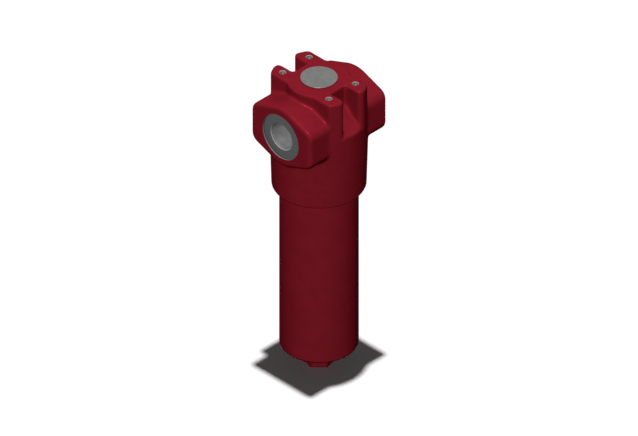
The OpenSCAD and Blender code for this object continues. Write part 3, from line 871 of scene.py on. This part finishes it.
def plated(name, base, spangle_size, roughness, lines=(1, 1, 1)):
    """Zinc plating or another thin metal skin: pale and dark grains, with faint forming lines."""
    m = new_finish(name)
    where = place(m)
    spangle = speckle(m, where, spangle_size, 4.0)
    formed = speckle(m, place(m, stretch=lines), 0.7 * mm, 2.0)
    colour = two_tone(m, spangle, tuple(0.88 * c for c in base), base)
    normal = relief(m, formed, 0.006 * mm, relief(m, spangle, 0.004 * mm))
    return surface(name, colour, between(m, spangle, *roughness), normal, metallic=1.0)


def rubber_finish():
    m = new_finish("black_rubber")
    bloom = speckle(m, place(m), 2.5 * mm, 4.0)
    skin = speckle(m, place(m), 0.25 * mm, 3.0)
    return surface(m.name, two_tone(m, bloom, (0.016, 0.016, 0.017), (0.03, 0.03, 0.03)),
                   between(m, bloom, 0.42, 0.6), relief(m, skin, 0.01 * mm), specular=0.45)


def waxy_plastic():
    m = new_finish("waxy_white_plastic")
    cloud = speckle(m, place(m), 3 * mm, 3.0)
    skived = speckle(m, place(m, stretch=(1, 1, 12)), 1.5 * mm)
    return surface(m.name, two_tone(m, cloud, (0.72, 0.69, 0.6), (0.84, 0.82, 0.74)),
                   between(m, cloud, 0.38, 0.5), relief(m, skived, 0.008 * mm), specular=0.4,
                   Subsurface_Weight=0.12, Subsurface_Scale=0.5 * mm)


turned_steel = machined("turned_steel", (0.42, 0.42, 0.425), "Z", feed=0.25 * mm, roughness=(0.26, 0.34),
                        hoops=True, metallic=1.0)
drawn_steel = plated("drawn_steel", (0.30, 0.295, 0.285), 4 * mm, (0.42, 0.58), (1, 1, 0.05))
zinc_skin = plated("zinc_plating", (0.60, 0.61, 0.62), 1.6 * mm, (0.3, 0.42))
yellow_zinc = plated("yellow_zinc_plating", (0.62, 0.56, 0.38), 2.2 * mm, (0.3, 0.44), (1, 1, 0.2))
bright_wire = plated("bright_steel", (0.56, 0.57, 0.59), 0.8 * mm, (0.16, 0.28))
brass_skin = machined("turned_brass", (0.70, 0.47, 0.19), "Z", feed=0.2 * mm, roughness=(0.18, 0.3),
                      metallic=1.0)
copper_skin = plated("soft_copper", (0.72, 0.34, 0.22), 1.2 * mm, (0.28, 0.42))
black_rubber = rubber_finish()
white_ring = waxy_plastic()
print("finishes so far:", len(bpy.data.materials))

# %% [markdown]
# The bowl is a steel cup with a 60 degree thread, a groove for the seal and a smooth sealing land
# above it. Its section runs from the middle of the floor's underside, out and up the painted wall,
# over the bare rim and down the bore. The spanner hexagon is joined on, and the drain hole with its
# thread and its recess is cut through it.

# %% The bowl
bowl_finishes = [bowl_paint, turned_steel, drawn_steel]
BOWL_PAINT, BOWL_TURNED, BOWL_DRAWN = range(len(bowl_finishes))
hex_h = 19 * mm
hex_w = 24 * mm
hex_turn = math.radians(15)
hex_bevel = 1 * mm
hex_bevel_h = 0.6 * mm
hex_edge_r = 0.6 * mm
hex_overlap = 2 * mm
bowl_end = hex_end + hex_h
bowl_floor = bowl_end + 10.5 * mm
bowl_edge_r = 2 * mm
floor_fillet_r = 8 * mm
shoulder_z = thread_low - 0.3 * mm
shoulder_l = 1.6 * mm
fine_bevel = 0.5 * mm
collar_low = thread_low + 0.4 * mm
land_r = 30 * mm
land_low = thread_high + 0.75 * mm
rim_bevel = 0.8 * mm
groove_r = 27.7 * mm
groove_bevel = 0.2 * mm
groove_high = bowl_top - 2.4 * mm
groove_low = groove_high - 5 * mm
drain_bore_r = 3 * mm
drain_thread_r = 4.575 * mm
drain_pitch = 25.4 / 28 * mm
drain_thread_depth = 0.58 * mm
drain_recess_r = 7.6 * mm
drain_bevel = 0.4 * mm
drain_seat = hex_end + 3.9 * mm
drain_thread_end = drain_seat + 7 * mm
drain_cone_l = 1.2 * mm
drain_below = 2 * mm
drain_above = 3 * mm
drain_steps = 64


def arc(centre_r, centre_z, radius, start, end, finish, count=8):
    """Section points along a quarter circle, angles in degrees from the outward direction."""
    return [(centre_r + radius * math.cos(a), centre_z + radius * math.sin(a), finish)
            for a in np.radians(np.linspace(start, end, count))]


def bowl_section():
    edge = arc(bowl_r - bowl_edge_r, bowl_end + bowl_edge_r, bowl_edge_r, -90, 0, BOWL_PAINT)
    bare = [(bowl_r, shoulder_z - shoulder_l), (bowl_r, shoulder_z - fine_bevel),
            (bowl_r - fine_bevel, shoulder_z), (thread_root_r, shoulder_z)]
    thread = threaded_rows(collar_low, thread_high, thread_root_r, thread_pitch, thread_depth, BOWL_TURNED)
    land = [(land_r, land_low), (land_r, groove_low - groove_bevel),
            (land_r - groove_bevel, groove_low), (groove_r, groove_low),
            (groove_r, groove_high), (land_r - groove_bevel, groove_high),
            (land_r, groove_high + groove_bevel), (land_r, bowl_top - rim_bevel),
            (land_r - rim_bevel, bowl_top), (chamber_r + fine_bevel, bowl_top)]
    bore = arc(chamber_r - floor_fillet_r, bowl_floor + floor_fillet_r, floor_fillet_r, 0, -90, BOWL_DRAWN)
    section = [(0, bowl_end, BOWL_PAINT)] + edge
    section += [(*point, BOWL_TURNED) for point in bare] + thread
    section += [(*point, BOWL_TURNED) for point in land]
    section += [(chamber_r, bowl_top - fine_bevel, BOWL_DRAWN)] + bore
    return section + [(0, bowl_floor, BOWL_DRAWN)]


def hexagon():
    """The spanner hexagon, its lower corners bevelled and its edges softened by paint."""
    corner_r = hex_w / 2 / math.cos(math.pi / 6)
    bm = bmesh.new()
    rings = []
    for height, radius in ((hex_end, corner_r - hex_bevel), (hex_end + hex_bevel_h, corner_r),
                           (bowl_end + hex_overlap, corner_r)):
        rings.append([bm.verts.new((radius * math.cos(a), radius * math.sin(a), height))
                      for a in hex_turn + np.arange(6) * math.pi / 3])
    bm.faces.new(list(reversed(rings[0])))
    bm.faces.new(rings[-1])
    for first, second in zip(rings, rings[1:]):
        for i in range(6):
            j = (i + 1) % 6
            bm.faces.new([first[i], first[j], second[j], second[i]])
    upright = [e for e in bm.edges if abs(e.verts[0].co.z - e.verts[1].co.z) > hex_h / 2]
    bmesh.ops.bevel(bm, geom=upright, offset=hex_edge_r, segments=3, affect="EDGES")
    bmesh.ops.recalc_face_normals(bm, faces=bm.faces)
    return mesh_object("hexagon", bm, bowl_finishes)


def drain_cutter():
    root = drain_thread_r - drain_thread_depth / 2
    mouth_r = drain_recess_r + drain_bevel
    low, high = hex_end - drain_below, bowl_floor + drain_above
    section = [(0, low, BOWL_PAINT), (mouth_r, low, BOWL_PAINT), (mouth_r, hex_end, BOWL_TURNED),
               (drain_recess_r, hex_end + drain_bevel, BOWL_TURNED),
               (drain_recess_r, drain_seat, BOWL_TURNED),
               (root + drain_thread_depth, drain_seat, BOWL_TURNED)]
    section += threaded_rows(drain_seat + drain_bevel, drain_thread_end, root, drain_pitch,
                             drain_thread_depth, BOWL_TURNED, small_thread_rows)
    section += [(drain_bore_r, drain_thread_end + drain_cone_l, BOWL_DRAWN),
                (drain_bore_r, high, BOWL_DRAWN), (0, high, BOWL_DRAWN)]
    return turned("drain_cutter", section, bowl_finishes, drain_steps)


filter_bowl = turned("filter_bowl", bowl_section(), bowl_finishes)
machine(filter_bowl, [hexagon()], "UNION")
machine(filter_bowl, [drain_cutter()])
smooth(filter_bowl)
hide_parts("bowl")
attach(filter_bowl, "bowl")
print("bowl:", triangles(filter_bowl), "triangles")

# %% [markdown]
# The filter element is a pleated sandwich: glass fibre fleece between two layers of woven wire, set in
# amber resin between plated caps. The weave is a material: one coordinate runs up the pleats and the
# other across them, as the sum of the radius and of the way round. Wires pass over and under each
# other where the product of two waves changes sign.

# %% Finishes of the filter element
mesh_pitch = 0.55 * mm
pleat_r = 22 * mm


def across_pleats(m, where):
    """Runs across the folded sheet: the radius plus the way round at the pleats' outer folds."""
    parts = add(m, "SeparateXYZ", {"Vector": where}).outputs
    flat = add(m, "CombineXYZ", {"X": parts["X"], "Y": parts["Y"]}).outputs["Vector"]
    radius = vector_node(m.node_tree, "LENGTH", flat, result="Value")
    angle = math_node(m.node_tree, "ARCTAN2", parts["Y"], parts["X"])
    return math_node(m.node_tree, "MULTIPLY_ADD", angle, pleat_r, radius), parts["Z"]


def wave(m, value, pitch):
    """A sine wave along a coordinate."""
    return math_node(m.node_tree, "SINE", math_node(m.node_tree, "MULTIPLY", value, math.pi / pitch))


def woven_wire(name, wire, gap):
    m = new_finish(name)
    way, height = across_pleats(m, place(m))
    warp = wave(m, way, mesh_pitch)
    weft = wave(m, height, mesh_pitch)
    crossing = math_node(m.node_tree, "MULTIPLY", warp, weft)
    openings_painted_shade = math_node(m.node_tree, "ABSOLUTE", crossing)
    tarnish = speckle(m, place(m), 5 * mm)
    metal = two_tone(m, tarnish, tuple(0.8 * c for c in wire), wire)
    # Painted shade: the openings between the wires take the dark gap colour, the fleece behind them as if in
    # shade.
    colour = add(m, "Mix", {"Factor": openings_painted_shade, "A": metal, "B": gap}, data_type="RGBA").outputs[2]
    return surface(name, colour, between(m, tarnish, 0.3, 0.42), relief(m, crossing, 0.08 * mm),
                   metallic=0.8)


def fleece_finish():
    m = new_finish("glass_fibre_fleece")
    fibres = speckle(m, place(m, stretch=(1, 1, 0.3)), 0.3 * mm, 5.0)
    cloud = speckle(m, place(m), 4 * mm)
    return surface(m.name, two_tone(m, cloud, (0.78, 0.76, 0.68), (0.88, 0.86, 0.8)),
                   between(m, fibres, 0.75, 0.95), relief(m, fibres, 0.05 * mm), specular=0.2,
                   Sheen_Weight=0.15)


def resin_finish():
    m = new_finish("amber_resin")
    cloud = speckle(m, place(m), 3 * mm, 3.0)
    bubbles = add(m, "TexVoronoi", {"Vector": place(m), "Scale": 1 / (1.4 * mm)}).outputs["Distance"]
    return surface(m.name, two_tone(m, cloud, (0.52, 0.36, 0.15), (0.68, 0.5, 0.24)),
                   between(m, cloud, 0.2, 0.32), relief(m, bubbles, 0.02 * mm), specular=0.5,
                   Subsurface_Weight=0.15, Subsurface_Scale=0.8 * mm)


cad_finishes = {
    "drain_plug": zinc_skin, "drain_plug_washer": copper_skin, "bowl_o_ring": black_rubber,
    "spigot_o_ring": black_rubber, "bowl_backup_ring": white_ring, "element_top_cap": yellow_zinc,
    "element_bottom_cap": yellow_zinc, "top_resin": resin_finish(),
    # The last colour of each weave is the painted shade in its openings.
    "outer_wire_mesh": woven_wire("outer_woven_wire", (0.55, 0.56, 0.57), (0.30, 0.29, 0.27, 1)),
    "inner_wire_mesh": woven_wire("inner_woven_wire", (0.48, 0.49, 0.5), (0.24, 0.23, 0.21, 1)),
    "filter_fleece": fleece_finish(), "seam_strip": bright_wire, "support_tube": zinc_skin,
    "bypass_seat": brass_skin, "bypass_poppet": turned_steel, "bypass_cage": yellow_zinc,
}
cad_finishes["bottom_resin"] = cad_finishes["top_resin"]
for node_name, finish in cad_finishes.items():
    solid = frame["nodes"][node_name]
    for slot_number in range(len(solid.data.materials)):
        solid.data.materials[slot_number] = finish
print("solids that keep their shape:", len(cad_finishes))

# %% [markdown]
# The bypass spring is wound by a node tree: a line of points is bent into a helix whose first and last
# turns lie flat, as on a real compression spring, and a round wire is swept along it. It sits between
# the cage's roof and the valve disc.

# %% The bypass spring
spring_low, spring_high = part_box("bypass_spring")
coil_r = 5.5 * mm
wire_r = 0.6 * mm
spring_turns = 7.0
points_along_wire = 260


def spring_tree():
    tree, given, out = new_tree("compression_spring", {
        "Coil radius": ("NodeSocketFloat", coil_r),
        "Wire radius": ("NodeSocketFloat", wire_r),
        "Turns": ("NodeSocketFloat", spring_turns),
        "Bottom": ("NodeSocketFloat", spring_low.z),
        "Top": ("NodeSocketFloat", spring_high.z),
        "Wire": ("NodeSocketMaterial", None)})
    line = put(tree, "GeometryNodeCurvePrimitiveLine", {"Start": (0, 0, 0), "End": (0, 0, 1)})
    fine = put(tree, "GeometryNodeResampleCurve", {"Curve": line.outputs[0],
                                                      "Count": points_along_wire})
    part = put(tree, "GeometryNodeSplineParameter").outputs["Factor"]
    coil, wire, turns = given["Coil radius"], given["Wire radius"], given["Turns"]

    def calc(operation, *values):
        return math_node(tree, operation, *values)

    angle = calc("MULTIPLY", calc("MULTIPLY", part, turns), full_turn)
    turn = calc("DIVIDE", 1.0, turns)
    climb = put(tree, "ShaderNodeMapRange", {
        "Value": part, "From Min": turn, "From Max": calc("SUBTRACT", 1.0, turn),
        "To Min": 0.0, "To Max": 1.0}).outputs[0]
    # Each flat end turn rises by the wire's own thickness, and the free turns climb between them
    turns_so_far = calc("DIVIDE", part, turn)
    first_turn = calc("MINIMUM", turns_so_far, 1.0)
    last_turn = calc("MAXIMUM", calc("SUBTRACT", turns_so_far, calc("SUBTRACT", turns, 1.0)), 0.0)
    ends = calc("MULTIPLY", calc("ADD", first_turn, last_turn), calc("MULTIPLY", wire, 2.0))
    free = calc("SUBTRACT", calc("SUBTRACT", given["Top"], given["Bottom"]), calc("MULTIPLY", wire, 6.0))
    climbed = calc("ADD", ends, calc("MULTIPLY", climb, free))
    height = calc("ADD", calc("ADD", given["Bottom"], wire), climbed)
    spot = put(tree, "ShaderNodeCombineXYZ", {
        "X": calc("MULTIPLY", coil, calc("COSINE", angle)),
        "Y": calc("MULTIPLY", coil, calc("SINE", angle)), "Z": height}).outputs[0]
    helix = put(tree, "GeometryNodeSetPosition", {"Geometry": fine.outputs[0], "Position": spot})
    round_wire = put(tree, "GeometryNodeCurvePrimitiveCircle", {"Resolution": 12, "Radius": wire})
    swept = put(tree, "GeometryNodeCurveToMesh", {"Curve": helix.outputs[0],
                                                  "Profile Curve": round_wire.outputs[0], "Fill Caps": True})
    return close_tree(tree, swept.outputs[0], given["Wire"], out)


wound_spring = mesh_object("wound_spring", bmesh.new(), [bright_wire])
apply_tree(wound_spring, spring_tree(), coil_radius=coil_r, wire_radius=wire_r, turns=spring_turns,
           bottom=spring_low.z, top=spring_high.z, wire=bright_wire)
smooth(wound_spring, math.radians(60))
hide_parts("bypass_spring")
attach(wound_spring, "head")
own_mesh(wound_spring)
print("spring:", triangles(wound_spring), "triangles")
